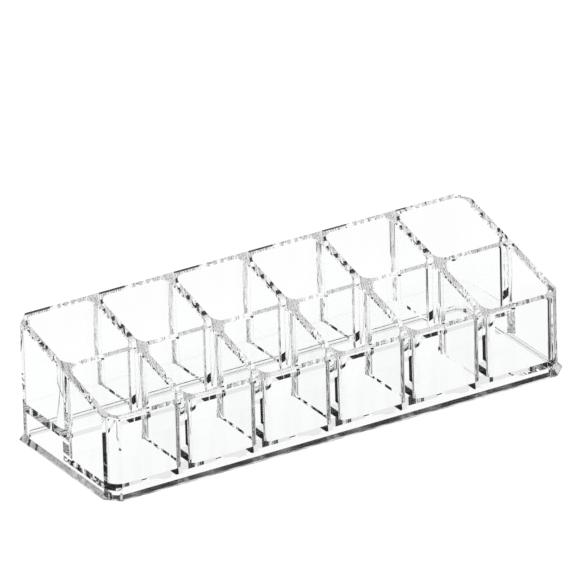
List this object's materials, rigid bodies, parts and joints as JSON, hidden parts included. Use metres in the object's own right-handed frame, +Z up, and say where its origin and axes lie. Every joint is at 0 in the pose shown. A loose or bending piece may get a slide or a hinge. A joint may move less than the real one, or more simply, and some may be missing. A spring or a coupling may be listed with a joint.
{
  "type": "vanity organizer",
  "caption": "Clear desktop cosmetics organizer: a long open box with a sloping rim, rows of square compartments and a bevelled foot, for standing lipsticks and brushes upright.",
  "frame": {"origin": "on the table, under the middle of the foot", "axes": "+X along the length to the right as seen from the front, -Y towards the low front, +Z up"},
  "size_m": [0.176, 0.0628, 0.0434],
  "materials": {
    "clear_acrylic": "clear, polished"
  },
  "bodies": {
    "root": {"foot_frame": "clear_acrylic", "front_floor": "clear_acrylic", "back_deck": "clear_acrylic", "front_wall": "clear_acrylic", "back_wall": "clear_acrylic", "left_end_wall": "clear_acrylic", "right_end_wall": "clear_acrylic", "centre_wall": "clear_acrylic", "front_left_corner": "clear_acrylic", "front_right_corner": "clear_acrylic", "back_left_corner": "clear_acrylic", "back_right_corner": "clear_acrylic", "front_divider_1": "clear_acrylic", "front_divider_2": "clear_acrylic", "front_divider_3": "clear_acrylic", "front_divider_4": "clear_acrylic", "front_divider_5": "clear_acrylic", "back_divider_1": "clear_acrylic", "back_divider_2": "clear_acrylic", "back_divider_3": "clear_acrylic", "back_divider_4": "clear_acrylic", "back_divider_5": "clear_acrylic"}
  },
  "joints": []
}
